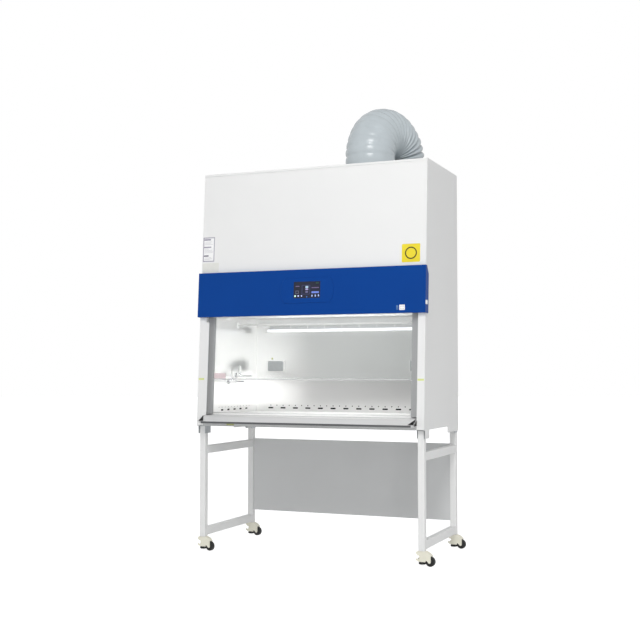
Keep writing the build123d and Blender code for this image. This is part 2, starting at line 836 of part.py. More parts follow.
# ---- air system -------------------------------------------------------------
def framed_filter(width, depth, thick):
    """Pleated filter in a folded frame, standing on its lower face."""
    frame = block(-width / 2, width / 2, -depth / 2, depth / 2, 0, thick)
    frame -= block(-width / 2 + skin, width / 2 - skin, -depth / 2 + skin, depth / 2 - skin, skin, thick - skin)
    window = RectangleRounded(width - 2 * filter_frame, depth - 2 * filter_frame, 4)
    frame -= extrude(window, thick)
    pleats = int((width - 2 * skin) / pleat_pitch)
    low, high = skin + media_gap, thick - skin - media_gap
    ridge = []
    for index in range(2 * pleats + 1):
        ridge.append((index * pleat_pitch / 2, low if index % 2 == 0 else high - media_thick))
    lifted = [(x, z + media_thick) for x, z in reversed(ridge)]
    sheet = Plane.XZ * make_face(Polyline(*ridge, *lifted, close=True))
    media = extrude(sheet, depth / 2 - skin, both=True)
    return frame + Pos(-pleats * pleat_pitch / 2, 0, 0) * media


def supply_filter():
    depth = filter_rear - filter_front
    place = Pos(0, (filter_front + filter_rear) / 2, ceiling + liner)
    return place * framed_filter(2 * filter_half, depth, filter_thick)


def blower_housing():
    """Scroll casing that blows down onto the supply filter, with its motor boss."""
    centre = filter_top + blower_rise
    turns = [(scroll_inner, 265), (scroll_inner + 10, 190), (scroll_inner + 26, 110), (scroll_outer, -10)]
    curve = [(radius * cos(radians(angle)), radius * sin(radians(angle))) for radius, angle in turns]
    drop = -blower_rise
    scroll = ThreePointArc(*curve[:3])
    outline = make_face([
        scroll,
        TangentArc(curve[2], curve[3], tangent=scroll % 1),
        Polyline(curve[-1], (scroll_outer, drop), (20, drop), (20, -scroll_inner - 10), curve[0]),
    ])
    casing = extrude(outline, scroll_width / 2, both=True)
    inside = extrude(offset(outline, amount=-skin), scroll_width / 2 - skin, both=True)
    outlet = block(20 + skin, scroll_outer - skin, drop - 1, drop + 3 * skin,
                   skin - scroll_width / 2, scroll_width / 2 - skin)
    eye = Pos(0, 0, -scroll_width / 2) * extrude(Circle(eye_radius), skin, both=True)
    boss = Pos(0, 0, scroll_width / 2 - skin - 22) * Cylinder(12, 44)
    shell = casing - inside - outlet - eye + boss
    return Pos(blower_place, blower_depth, centre) * (Plane.YZ * shell)


def blower_wheel():
    """Forward-curved impeller on its external-rotor motor hub."""
    back = Cylinder(impeller_radius, 3)
    half = impeller_width / 2
    ring = Pos(0, 0, -half + 3) * (Cylinder(impeller_radius, 4) - Cylinder(impeller_radius - 18, 6))
    blade = Pos(impeller_radius - 10, 0, 0) * Rot(0, 0, 25) * Box(16, blade_thick, impeller_width - 6)
    wheel = Pos(0, 0, half - 3) * back + ring
    for spot in PolarLocations(0, impeller_blades):
        wheel += spot * blade
    wheel += Pos(0, 0, half - 35) * Cylinder(45, 66)
    wheel -= Pos(0, 0, half - 20) * Cylinder(12 + run_gap, 60)
    return Pos(blower_place, blower_depth, filter_top + blower_rise) * Rot(0, 90, 0) * wheel


def return_plenum():
    """Open-bottomed box that brings the used air up from behind the chamber."""
    left = duct_place - exhaust_width / 2
    right = duct_place + exhaust_width / 2
    rear = case_depth - skin
    box = block(left, right, exhaust_front, rear, filter_top, exhaust_bottom)
    box -= block(left + skin, right - skin, exhaust_front + skin, rear, filter_top, exhaust_bottom)
    return box + block(left, right, rear - skin, rear, filter_top, exhaust_bottom)


def exhaust_filter():
    depth = case_depth - skin - exhaust_front
    place = Pos(duct_place, exhaust_front + depth / 2, exhaust_bottom)
    return place * framed_filter(exhaust_width, depth, exhaust_filter_thick)


def exhaust_hood():
    """Hood that gathers the exhaust filter's air into the round collar on the roof."""
    depth = case_depth - skin - exhaust_front
    middle = exhaust_front + depth / 2
    base = Pos(duct_place, middle, exhaust_top)
    neck = Pos(duct_place, duct_depth, hood_top)
    outer = loft([base * Rectangle(exhaust_width, depth), neck * Circle(collar_radius)])
    bore = collar_radius - collar_wall
    inner = loft([base * Rectangle(exhaust_width - 2 * skin, depth - 2 * skin), neck * Circle(bore)])
    collar = Circle(collar_radius) - Circle(bore)
    return outer - inner + neck * extrude(collar, case_top + collar_height - hood_top)


# ---- exhaust duct -----------------------------------------------------------
def duct_point(angle):
    """Middle of the duct on its bend, at an angle from the rising side."""
    run = bend_radius * (1 - cos(angle))
    return (duct_place + run * duct_direction[0], duct_depth + run * duct_direction[1],
            bend_level + bend_radius * sin(angle))


def duct_section(angle, shift, radius):
    """Circle across the duct at a bend angle, moved along the duct by a distance."""
    along = (sin(angle) * duct_direction[0], sin(angle) * duct_direction[1], cos(angle))
    middle = duct_point(angle)
    place = [middle[i] + along[i] * shift for i in range(3)]
    level = (-duct_direction[1], duct_direction[0], 0)
    return Plane(origin=place, x_dir=level, z_dir=along) * Circle(radius)


def exhaust_duct():
    """Corrugated duct: up from the collar, over and down behind the case."""
    half_turn = radians(180)
    sections = []
    for index in range(2 * rise_folds):
        radius = duct_valley if index % 2 == 0 else duct_crest
        sections.append(duct_section(0, -(2 * rise_folds - index) * duct_fold, radius))
    for index in range(2 * bend_folds + 1):
        radius = duct_valley if index % 2 == 0 else duct_crest
        sections.append(duct_section(half_turn * index / (2 * bend_folds), 0, radius))
    for index in range(1, 2 * drop_folds + 1):
        radius = duct_valley if index % 2 == 0 else duct_crest
        sections.append(duct_section(half_turn, index * duct_fold, radius))
    skin_body = loft(sections, ruled=True)
    start = duct_section(0, -2 * rise_folds * duct_fold, duct_bore)
    path = Wire([
        Line(sections[0].center(), duct_point(0)),
        ThreePointArc(duct_point(0), duct_point(half_turn / 2), duct_point(half_turn)),
        Line(duct_point(half_turn), sections[-1].center()),
    ])
    return skin_body - sweep(start, path=path)


def duct_cuff():
    """Rigid spigot in the duct's free end, where the building's duct is pushed on."""
    end = duct_point(radians(180))
    ring = Circle(collar_radius) - Circle(collar_radius - collar_wall)
    tube_part = Pos(end[0], end[1], duct_end - cuff_length) * extrude(ring, cuff_length + cuff_insert)
    stop = Circle(duct_valley + 2) - Circle(collar_radius - 0.5)
    return tube_part + Pos(end[0], end[1], duct_end - 5) * extrude(stop, 5)


def duct_clamps():
    """Worm-drive bands that hold the duct on the collar and on the cuff."""
    end = duct_point(radians(180))
    band = Circle(duct_crest + clamp_thick) - Circle(duct_crest)
    screw = Rot(90, 0, 0) * Cylinder(6, 34)
    clamps = []
    for x, y, level in ((duct_place, duct_depth, case_top + 2 * skin + duct_fold),
                        (end[0], end[1], duct_end + duct_fold)):
        clamp = extrude(band, clamp_width / 2, both=True) + Pos(duct_crest + 7, 0, 0) * screw
        clamps.append(Pos(x, y, level) * clamp)
    return clamps


# ---- fittings ---------------------------------------------------------------
def hanging_rod():
    """Stainless rod between the side walls, with its flanges and welded hooks."""
    rod = Rot(0, 90, 0) * Cylinder(rod_radius, chamber_width)
    flange = Rot(0, 90, 0) * Cylinder(rod_flange, rod_flange_thick)
    place = chamber_half - rod_flange_thick / 2
    rod = rod + Pos(place, 0, 0) * flange + Pos(-place, 0, 0) * flange
    wire = Wire([
        Line((0, 0, -rod_radius + 1), (0, 0, -hook_drop)),
        ThreePointArc((0, 0, -hook_drop), (0, -hook_bend, -hook_drop - hook_bend), (0, -2 * hook_bend, -hook_drop)),
    ])
    hook = sweep(Pos(0, 0, -rod_radius + 1) * Circle(hook_wire), path=wire)
    for index in range(hook_count):
        rod += Pos(hook_first + index * hook_pitch, 0, 0) * hook
    return Pos(0, rod_depth, rod_level) * rod


def lamp_tube():
    return Pos(0, chamber_back - lamp_stand, lamp_level) * Rot(0, 90, 0) * Cylinder(lamp_radius, 2 * lamp_half)


def lamp_holder():
    """Right-hand tube holder on the rear wall."""
    block_depth = lamp_stand + lamp_radius
    shape = RectangleRounded(2 * lamp_radius + 8, block_depth, 5)
    body = extrude(shape, 24)
    place = Location((lamp_half, chamber_back - block_depth / 2, lamp_level + 4), (0, 90, 0))
    return place * body


def socket_plate():
    """Right-hand double socket with the ears that hold its splash cover."""
    face = chamber_back - socket_base
    plate = block(-socket_width / 2, socket_width / 2, face, chamber_back, 0, socket_height)
    plate = fillet(plate.edges().filter_by(Axis.Y), 6)
    for offset_x in (-socket_width / 4, socket_width / 4):
        plate -= Pos(offset_x, face, socket_height / 2 - 3) * Rot(90, 0, 0) * Cylinder(18, 6)
    ear = Plane.YZ * (Pos(face - 4, socket_height - 5) * RectangleRounded(8, 8, 2))
    half = socket_width / 2 - 2
    ears = across(ear, half - 6, half) + across(ear, -half, -half + 6)
    pin = Pos(0, face - 4, socket_height - 5) * Rot(0, 90, 0) * Cylinder(socket_pin, 2 * half)
    return Pos(socket_place, 0, socket_middle - socket_height / 2) * (plate + ears + pin)


def socket_cover():
    """Lift-up splash cover over the right-hand sockets."""
    face = chamber_back - socket_base
    half = socket_width / 2 - 9
    low = 4
    high = socket_height - 5
    shell = block(-half, half, face - socket_cover_deep, face - fit_gap, low, high)
    shell -= block(-half + 2, half - 2, face - socket_cover_deep + 2, face, low + 2, high - 6)
    knuckle = Pos(0, face - 4, high) * Rot(0, 90, 0) * Cylinder(socket_pin + 1.5, 2 * half)
    bore = Pos(0, face - 4, high) * Rot(0, 90, 0) * Cylinder(socket_pin + run_gap, 2 * half + 2)
    return Pos(socket_place, 0, socket_middle - socket_height / 2) * (shell + knuckle - bore)


def tap_body(depth, level):
    """Wall tap: flange, valve body and the ribbed hose nozzle, reaching out along +x."""
    section = [(0, 0), (0, tap_flange), (4, tap_flange), (6, tap_body_radius), (tap_reach, tap_body_radius),
               (tap_reach + 4, tap_body_radius - 4), (tap_reach + 8, tap_body_radius - 4)]
    rib_start = tap_reach + 8
    rib = (nozzle_length - 14) / 4
    for index in range(4):
        start = rib_start + index * rib
        section += [(start, tap_body_radius - 3), (start + rib, tap_body_radius - 5)]
    section += [(rib_start + 4 * rib, 0)]
    turned = revolve(make_face(Polyline(*section, close=True)), Axis.X)
    neck = Pos(tap_reach / 2, 0, 0) * extrude(Circle(tap_body_radius - 1), knob_rise - fit_gap)
    stem = Pos(tap_reach / 2, 0, 0) * extrude(Circle(tap_stem_radius), knob_rise + 14)
    return Pos(-chamber_half, depth, level) * (turned + neck + stem)


def tap_knob(depth, level):
    """Fluted hand knob over the tap's stem."""
    section = make_face(Polyline(
        (0, 0), (knob_radius, 0), (knob_radius - 1.5, knob_height - 2),
        (knob_radius - 3, knob_height), (0, knob_height), close=True,
    ))
    knob = revolve(Plane.XZ * section, Axis.Z)
    for spot in PolarLocations(knob_radius + 1.5, 6):
        knob -= spot * Cylinder(3, 2 * knob_height)
    knob -= Cylinder(tap_stem_radius + run_gap, 2 * 15)
    return Pos(-chamber_half + tap_reach / 2, depth, level + knob_rise) * knob


def power_inlet():
    """Flanged appliance inlet on the rear panel."""
    flange = Box(inlet_width, 4, inlet_height)
    flange = fillet(flange.edges().filter_by(Axis.Y), 6)
    hood = Pos(0, 8, 0) * Box(inlet_width - 24, 14, inlet_height - 14)
    recess = Pos(0, 10, 0) * Box(inlet_width - 30, 14, inlet_height - 20)
    return Pos(-half_width + 110, case_depth + 2, case_top - 140) * (flange + hood - recess)


# ---- all nodes --------------------------------------------------------------
right_socket = socket_plate()
right_cover = socket_cover()
right_idler = idler_pulley()
nodes = {
    "side_panels": [side_panel() + keeper(), mirror(side_panel(), about=Plane.YZ)],
    "rear_panel": rear_panel(),
    "roof_panel": roof(),
    "floor_pan": floor_pan(),
    "upper_front_cover": upper_cover(),
    "lintel_sheet": lintel(),
    "front_posts": both_sides(front_post()),
    "sash_guides": both_sides(sash_guide()),
    "side_liners": both_sides(side_liner()),
    "rear_liner": back_liner(),
    "air_diffuser": diffuser(),
    "work_tray": work_tray(),
    "front_grille_armrest": armrest(),
    "control_panel": control_panel(),
    "display_bezel": display_bezel(),
    "display_screen": display_screen(),
    "panel_catch": panel_catch(),
    "stand_legs": stand_legs(),
    "stand_rails": stand_rails(),
    "stand_back_sheet": stand_back(),
    "leg_brackets": leg_brackets(),
    "sash_pane": sash_pane(),
    "sash_trim": sash_trim(),
    "sash_clamps": both_sides(sash_clamp()),
    "drive_shaft": drive_shaft(),
    "right_idler_pulley": right_idler,
    "left_idler_pulley": mirror(right_idler, about=Plane.YZ),
    "drive_belts": both_sides(drive_belt()),
    "drive_beam": drive_beam(),
    "drive_motor": drive_motor(),
    "hepa_filters": [supply_filter(), exhaust_filter()],
    "blower_housing": blower_housing(),
    "blower_wheel": blower_wheel(),
    "return_plenum": return_plenum(),
    "exhaust_hood": exhaust_hood(),
    "exhaust_duct": exhaust_duct(),
    "duct_cuff": duct_cuff(),
    "duct_clamps": duct_clamps(),
    "hanging_rod": hanging_rod(),
    "lamp_tube": lamp_tube(),
    "lamp_holders": both_sides(lamp_holder()),
    "socket_plates": both_sides(right_socket),
    "right_socket_cover": right_cover,
    "left_socket_cover": mirror(right_cover, about=Plane.YZ),
    "tap_bodies": [tap_body(depth, level) for depth, level in tap_places],
    "front_tap_knob": tap_knob(*tap_places[0]),
    "rear_tap_knob": tap_knob(*tap_places[1]),
    "power_inlet": power_inlet(),
}
housing, wheel, foot = caster_housing(), caster_wheel(), caster_foot()
for (x, y), corner in zip(leg_places(), ("front_left", "rear_left", "front_right", "rear_right")):
    spot = caster_frame(x, y)
    nodes[corner + "_caster_housing"] = spot * housing
    nodes[corner + "_caster_wheel"] = spot * wheel
    nodes[corner + "_caster_foot"] = spot * foot

# The model's origin is on the floor under the middle of its whole box.
shapes = {name: Compound(piece) if isinstance(piece, list) else piece for name, piece in nodes.items()}
boxes = [shape.bounding_box() for shape in shapes.values()]
middle_x = (min(box.min.X for box in boxes) + max(box.max.X for box in boxes)) / 2
middle_y = (min(box.min.Y for box in boxes) + max(box.max.Y for box in boxes)) / 2

os.makedirs("parts", exist_ok=True)
for name, shape in shapes.items():
    export_step(Pos(-middle_x, -middle_y, 0) * shape, "parts/" + name + ".step")
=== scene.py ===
import math
import random

import bmesh
import bpy
from mathutils import Matrix, Vector


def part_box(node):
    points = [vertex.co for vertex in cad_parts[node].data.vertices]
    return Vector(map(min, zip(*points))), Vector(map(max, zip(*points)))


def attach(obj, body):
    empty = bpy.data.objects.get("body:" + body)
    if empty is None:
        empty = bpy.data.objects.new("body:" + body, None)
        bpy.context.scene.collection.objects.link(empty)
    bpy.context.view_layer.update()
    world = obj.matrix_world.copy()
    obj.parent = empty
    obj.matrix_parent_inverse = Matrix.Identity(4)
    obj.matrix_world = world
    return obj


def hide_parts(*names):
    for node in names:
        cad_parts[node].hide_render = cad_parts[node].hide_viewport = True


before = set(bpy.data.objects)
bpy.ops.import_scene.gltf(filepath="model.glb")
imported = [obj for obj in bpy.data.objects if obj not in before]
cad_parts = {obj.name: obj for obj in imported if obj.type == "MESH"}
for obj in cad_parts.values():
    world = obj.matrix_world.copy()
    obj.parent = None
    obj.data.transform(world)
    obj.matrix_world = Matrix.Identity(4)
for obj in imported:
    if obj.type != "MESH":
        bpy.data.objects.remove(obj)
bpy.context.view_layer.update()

# ---- Where the cabinet stands -------------------------------------------------
# Sizes below are millimetres in the cabinet's own layout: x from its middle, y back
# from the foot of its front face and z from the floor. The front face leans back.
case_depth, case_foot, lean = 750, 785, math.radians(3.5)
rear_low, rear_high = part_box("rear_panel")
cabinet = (Matrix.Translation(((rear_low[0] + rear_high[0]) / 2, rear_high[1] - case_depth / 1000, 0))
           @ Matrix.Scale(0.001, 4))
leaning_front = cabinet @ Matrix.Translation((0, 0, case_foot)) @ Matrix.Rotation(-lean, 4, "X")


def up(height):
    """Way up the leaning front that reaches a height above the floor."""
    return (height - case_foot) / math.cos(lean)


# ---- Camera ---------------------------------------------------------------------
# A short telephoto lens stands a little to the right of the cabinet at chest height and
# tilts up slightly. The plain sRGB view keeps every finish at its own colour.
camera_data = bpy.data.cameras.new("camera")
camera_data.sensor_width = 36
camera_data.lens = 59.93
camera_data.clip_end = 100
camera = bpy.data.objects.new("camera", camera_data)
camera.location = cabinet @ Vector((2579.3, -5950.9, 1132.0))
camera.rotation_euler = (math.radians(92.73), 0, math.radians(22.64))
bpy.context.scene.collection.objects.link(camera)
bpy.context.scene.camera = camera
bpy.context.scene.view_settings.view_transform = "Standard"


# ---- Floor and studio light -------------------------------------------------------
# A seamless pale floor under an even white sky, which metal mirrors as brighter to
# the sides than ahead. A large soft lamp stands high in front, and a smaller, low one
# on the right reaches into the chamber.
def linear(code):
    """Linear colour from an sRGB hex value such as "EFEFEF"."""
    parts = [int(code[i:i + 2], 16) / 255 for i in (0, 2, 4)]
    return [c / 12.92 if c <= 0.04045 else ((c + 0.055) / 1.055) ** 2.4 for c in parts] + [1]


def add(tree, kind, settings=None, **inputs):
    """Add a node; each input is a value or the output socket that feeds it."""
    made = tree.nodes.new(kind)
    for name, value in (settings or {}).items():
        setattr(made, name, value)
    for name, value in inputs.items():
        key = int(name[1:]) if name[0] == "_" else name.replace("_", " ")
        if isinstance(value, bpy.types.NodeSocket):
            tree.links.new(value, made.inputs[key])
        else:
            made.inputs[key].default_value = value
    return made


def rays(tree):
    """Whether a ray is mirrored, and whether the camera sees it directly or through glass."""
    path = add(tree, "ShaderNodeLightPath")
    seen = add(tree, "ShaderNodeMath", {"operation": "MAXIMUM"}, _0=path.outputs["Is Camera Ray"],
               _1=path.outputs["Is Transmission Ray"])
    return path.outputs["Is Glossy Ray"], seen.outputs[0]


def both_sides(tree, value, left, right):
    """Strength that grows to each side: where a ramp starts and ends, and its strength at both."""
    ramps = [add(tree, "ShaderNodeMapRange", Value=value, From_Min=start, From_Max=end, To_Min=first,
                 To_Max=last).outputs[0] for start, end, first, last in (left, right)]
    return add(tree, "ShaderNodeMath", {"operation": "ADD"}, _0=ramps[0], _1=ramps[1]).outputs[0]


world = bpy.data.worlds.new("even white sky")
world.use_nodes = True
sky = world.node_tree
sky.nodes.clear()
mirror_ray, seen_ray = rays(sky)
soft = add(sky, "ShaderNodeBackground", Color=linear("FAFBFC"), Strength=0.6)
direction = add(sky, "ShaderNodeTexCoord").outputs["Generated"]
across = add(sky, "ShaderNodeSeparateXYZ", Vector=direction).outputs["X"]
bright_sides = both_sides(sky, across, left=(-0.44, -0.28, 0.82, 0.54), right=(0, 0.3, 0, 0.25))
mirrored = add(sky, "ShaderNodeBackground", Color=(1, 1, 1, 1), Strength=bright_sides)
white = add(sky, "ShaderNodeBackground", Color=(1, 1, 1, 1), Strength=1.0)
unseen = add(sky, "ShaderNodeMixShader", _0=mirror_ray, _1=soft.outputs[0], _2=mirrored.outputs[0])
whole = add(sky, "ShaderNodeMixShader", _0=seen_ray, _1=unseen.outputs[0], _2=white.outputs[0])
add(sky, "ShaderNodeOutputWorld", Surface=whole.outputs[0])
bpy.context.scene.world = world

floor_paint = bpy.data.materials.new("pale studio floor")
floor_paint.use_nodes = True
tree = floor_paint.node_tree
tree.nodes.clear()
mirror_ray, seen_ray = rays(tree)
matt = add(tree, "ShaderNodeBsdfDiffuse", Color=linear("F2F2F2"))
glow = add(tree, "ShaderNodeEmission", Color=(1, 1, 1, 1), Strength=0.72)
lifted = add(tree, "ShaderNodeAddShader", _0=matt.outputs[0], _1=glow.outputs[0])
spot = add(tree, "ShaderNodeSeparateXYZ", Vector=add(tree, "ShaderNodeTexCoord").outputs["Object"])
forward = add(tree, "ShaderNodeMath", {"operation": "MULTIPLY"}, _0=spot.outputs["Y"], _1=-1)
ahead = add(tree, "ShaderNodeMath", {"operation": "MAXIMUM"}, _0=forward.outputs[0], _1=0.5)
aside = add(tree, "ShaderNodeMath", {"operation": "DIVIDE"}, _0=spot.outputs["X"], _1=ahead.outputs[0])
sheen = both_sides(tree, aside.outputs[0], left=(-0.46, -0.34, 0.95, 0), right=(0, 0.3, 0, 0.9))
mirrored = add(tree, "ShaderNodeEmission", Color=(1, 1, 1, 1), Strength=sheen)
unseen = add(tree, "ShaderNodeMixShader", _0=mirror_ray, _1=matt.outputs[0], _2=mirrored.outputs[0])
whole = add(tree, "ShaderNodeMixShader", _0=seen_ray, _1=unseen.outputs[0], _2=lifted.outputs[0])
add(tree, "ShaderNodeOutputMaterial", Surface=whole.outputs[0])
floor_radius, under_feet = 40, 0.0005
bm = bmesh.new()
bmesh.ops.create_circle(bm, cap_ends=True, segments=64, radius=floor_radius,
                        matrix=Matrix.Translation((0, 0, -under_feet)))
mesh = bpy.data.meshes.new("studio_floor")
bm.to_mesh(mesh)
bm.free()
mesh.materials.append(floor_paint)
floor = bpy.data.objects.new("studio_floor", mesh)
bpy.context.scene.collection.objects.link(floor)

lamp_target = Vector((0, 0, 1.2))
for name, place, energy, size in (("high_lamp", (1.9, -5.2, 5.4), 150, 2.0),
                                  ("chamber_lamp", (3.6, -6.6, 0.5), 60, 1.3)):
    lamp_data = bpy.data.lights.new(name, "AREA")
    lamp_data.energy = energy
    lamp_data.size = size
    lamp = bpy.data.objects.new(name, lamp_data)
    lamp.location = place
    lamp.rotation_euler = (lamp_target - lamp.location).to_track_quat("-Z", "Y").to_euler()
    bpy.context.scene.collection.objects.link(lamp)


# ---- Painted case -----------------------------------------------------------------
# Folded 1.2 to 2 mm steel sheet, off-white epoxy powder coat baked on. The powder
# leaves a faint orange peel and a soft, wide highlight.
def surface(name, color, roughness, metallic=0.0, grain=0.0, grain_mm=1.0, stretch=(1, 1, 1),
            vary=0.0, vary_mm=300.0):
    """Start a material: base colour with slow variation, and a fine bump or brushing."""
    made = bpy.data.materials.new(name)
    made.use_nodes = True
    tree = made.node_tree
    tree.nodes.clear()
    place = add(tree, "ShaderNodeTexCoord").outputs["Object"]
    shader = add(tree, "ShaderNodeBsdfPrincipled", Metallic=metallic, Roughness=roughness)
    shader.inputs["Base Color"].default_value = linear(color)
    if vary:
        cloud = add(tree, "ShaderNodeTexNoise", Vector=place, Scale=1000 / vary_mm, Detail=3.0)
        tone = add(tree, "ShaderNodeMapRange", Value=cloud.outputs["Fac"], From_Min=0.3, From_Max=0.7,
                   To_Min=1 - vary, To_Max=1 + vary * 0.3)
        shade = add(tree, "ShaderNodeVectorMath", {"operation": "SCALE"},
                    Vector=linear(color)[:3], Scale=tone.outputs[0])
        tree.links.new(shade.outputs[0], shader.inputs["Base Color"])
    if grain:
        scaled = add(tree, "ShaderNodeMapping", Vector=place, Scale=stretch)
        peel = add(tree, "ShaderNodeTexNoise", Vector=scaled.outputs[0], Scale=1000 / grain_mm, Detail=2.0)
        bump = add(tree, "ShaderNodeBump", Strength=grain, Distance=0.0004, Height=peel.outputs["Fac"])
        tree.links.new(bump.outputs[0], shader.inputs["Normal"])
    add(tree, "ShaderNodeOutputMaterial", Surface=shader.outputs[0])
    return made


def dress(material, *names):
    """Give a material to CAD nodes."""
    for name in names:
        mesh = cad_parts[name].data
        mesh.materials.clear()
        mesh.materials.append(material)


def slab(bm, low, high, corner=0.0, steps=4):
    """A block between two corners, with the edges that run front to back rounded."""
    size = [b - a for a, b in zip(low, high)]
    middle = [(a + b) / 2 for a, b in zip(low, high)]
    made = bmesh.ops.create_cube(bm, size=1, matrix=Matrix.Translation(middle) @ Matrix.Diagonal((*size, 1)))
    if corner:
        edges = dict.fromkeys(e for v in made["verts"] for e in v.link_edges
                              if abs(e.verts[0].co.y - e.verts[1].co.y) > size[1] / 2)
        bmesh.ops.bevel(bm, geom=list(edges), offset=corner, segments=steps, profile=0.5,
                        affect="EDGES", material=-1)


def ease(bm, axis, offset, segments=2):
    """Round the edges that run a long way along one axis."""
    edges = [e for e in bm.edges if abs(e.verts[0].co[axis] - e.verts[1].co[axis]) > 100]
    bmesh.ops.bevel(bm, geom=edges, offset=offset, segments=segments, profile=0.5, affect="EDGES",
                    material=-1)


def rod(bm, radius, length, middle, segments=24):
    """A capped rod that runs across the cabinet."""
    bmesh.ops.create_cone(bm, cap_ends=True, segments=segments, radius1=radius, radius2=radius, depth=length,
                          matrix=Matrix.Translation(middle) @ Matrix.Rotation(math.radians(90), 4, "Y"))


def fasten(name, bm, material, body, place):
    """Set a finished mesh in the frame and let it ride on a body."""
    bmesh.ops.transform(bm, matrix=place, verts=bm.verts)
    bmesh.ops.recalc_face_normals(bm, faces=bm.faces)
    mesh = bpy.data.meshes.new(name)
    bm.to_mesh(mesh)
    bm.free()
    mesh.materials.append(material)
    made = bpy.data.objects.new(name, mesh)
    bpy.context.scene.collection.objects.link(made)
    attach(made, body)
    return made


powder_coat = surface("off-white powder coated steel", "EDEDEC", 0.5, grain=0.12, grain_mm=2.5,
                      vary=0.015, vary_mm=500)
dress(powder_coat, "side_panels", "rear_panel", "roof_panel", "upper_front_cover", "front_posts")
# The stand's back sheet is greyed below the case's white: painted shade from the cabinet above.
sheet_painted_shade_coat = surface("powder coated sheet greyed as painted shade", "D6D7D7", 0.5, grain=0.12, grain_mm=2.5, vary=0.03,
                    vary_mm=400)
dress(sheet_painted_shade_coat, "stand_back_sheet")
# The floor pan, with the fascia under the armrest nose, is greyed below the case's white: painted shade.
floor_pan_painted_shade_coat = surface("powder coat greyed as painted shade", "C6C7C7", 0.5, grain=0.12, grain_mm=2.5, vary=0.02)
dress(floor_pan_painted_shade_coat, "floor_pan")
galvanised = surface("galvanised steel sheet", "B9BDC0", 0.38, metallic=1.0, vary=0.12, vary_mm=14)
dress(galvanised, "leg_brackets", "return_plenum", "exhaust_hood", "blower_housing", "lintel_sheet")


# ---- Rear panel screws -----------------------------------------------------------
# Zinc plated pan-head screws with a cross recess hold the rear panel to the case: nine
# up each side, and seven along the top and along the foot.
zinc = surface("zinc plated steel", "C9CBCD", 0.35, metallic=1.0, vary=0.05, vary_mm=5)
recess = surface("black oxide recess", "2B2C2D", 0.6, vary=0.05, vary_mm=5)
heads, crosses = bmesh.new(), bmesh.new()
edge_x, first_row, row_pitch, column_pitch = 732, 830, 193, 183
places = [(side * edge_x, first_row + row_pitch * row) for side in (-1, 1) for row in range(9)]
places += [(column * column_pitch, height) for column in range(-3, 4) for height in (806, 2384)]
recess_inner, recess_outer = case_depth + 2.2, case_depth + 2.4
arm, half_width = 2.2, 0.5
for x, z in places:
    bmesh.ops.create_cone(heads, cap_ends=True, segments=16, radius1=3.4, radius2=4.6, depth=2.4,
                          matrix=Matrix.Translation((x, case_depth + 1.1, z))
                          @ Matrix.Rotation(math.radians(90), 4, "X"))
    for wide, tall in ((arm, half_width), (half_width, arm)):
        slab(crosses, (x - wide, recess_inner, z - tall), (x + wide, recess_outer, z + tall))
fasten("rear_screws", heads, zinc, "cabinet", cabinet)
fasten("rear_screw_recesses", crosses, recess, "cabinet", cabinet)


# ---- Labels on the case ------------------------------------------------------------
# Printed vinyl, 0.3 mm thick with its adhesive: a yellow patch with a ring, a ruled data
# card, a pale film below it, level marks across the posts and a small tag on the fascia.
def label(bm, layer, left, low, right, high, corner=0.0):
    """A film or ink on the leaning front: its front and back, then its edges by height."""
    slab(bm, (left, layer[0], up(low)), (right, layer[1], up(high)), corner)


film, thin_film, ink = (-0.3, 0.02), (-0.25, 0.02), (-0.36, -0.28)
yellow_vinyl = surface("yellow vinyl film", "EFDA30", 0.35, grain=0.08, grain_mm=4, vary=0.03, vary_mm=60)
bm = bmesh.new()
label(bm, film, 598, 1776, 712, 1886, corner=7)
fasten("yellow_patch", bm, yellow_vinyl, "cabinet", leaning_front)
ink_black = surface("black screen print ink", "241F10", 0.45, grain=0.1, grain_mm=3)
bm = bmesh.new()
middle_x, middle_z, ring_front = 655, up(1831), -0.45
outer_radius, inner_radius = 37, 30
bmesh.ops.create_circle(bm, segments=64, radius=outer_radius,
                        matrix=Matrix.Translation((middle_x, ring_front, middle_z))
                        @ Matrix.Rotation(math.radians(90), 4, "X"))
ring = bmesh.ops.extrude_edge_only(bm, edges=bm.edges[:])
inner_rim = [v for v in ring["geom"] if isinstance(v, bmesh.types.BMVert)]
shrink = inner_radius / outer_radius
bmesh.ops.scale(bm, vec=(shrink, 1, shrink), verts=inner_rim,
                space=Matrix.Translation((-middle_x, 0, -middle_z)))
bmesh.ops.solidify(bm, geom=bm.faces[:], thickness=0.12)
fasten("yellow_patch_ring", bm, ink_black, "cabinet", leaning_front)

white_vinyl = surface("white vinyl film", "FAFAFA", 0.4, grain=0.08, grain_mm=4, vary=0.01)
bm = bmesh.new()
label(bm, film, -746, 1831, -664, 1989, corner=3)
fasten("data_card", bm, white_vinyl, "cabinet", leaning_front)
violet_ink = surface("violet grey print ink", "A5A1B0", 0.5, vary=0.08, vary_mm=20)
bm = bmesh.new()
for rule in ((-746, 1831, -740.5, 1989), (-669.5, 1831, -664, 1989), (-740.5, 1831, -669.5, 1837),
             (-740.5, 1983, -669.5, 1989), (-740, 1969, -692, 1979), (-740, 1921, -688, 1929)):
    label(bm, ink, *rule)
fasten("data_card_rules", bm, violet_ink, "cabinet", leaning_front)
dark_ink = surface("dark violet print ink", "4B465E", 0.5, vary=0.05)
bm = bmesh.new()
label(bm, ink, -740, 1865, -706, 1873)
fasten("data_card_bar", bm, dark_ink, "cabinet", leaning_front)
pale_ink = surface("pale grey print ink", "D3D2D6", 0.5, vary=0.08, vary_mm=12)
bm = bmesh.new()
row_start, row_height = -736, 3
for row, length in ((1958, 52), (1950, 44), (1942, 58), (1912, 30), (1904, 54), (1896, 60), (1888, 60),
                    (1856, 50), (1848, 56), (1842, 38)):
    label(bm, ink, row_start, row, row_start + length, row + row_height)
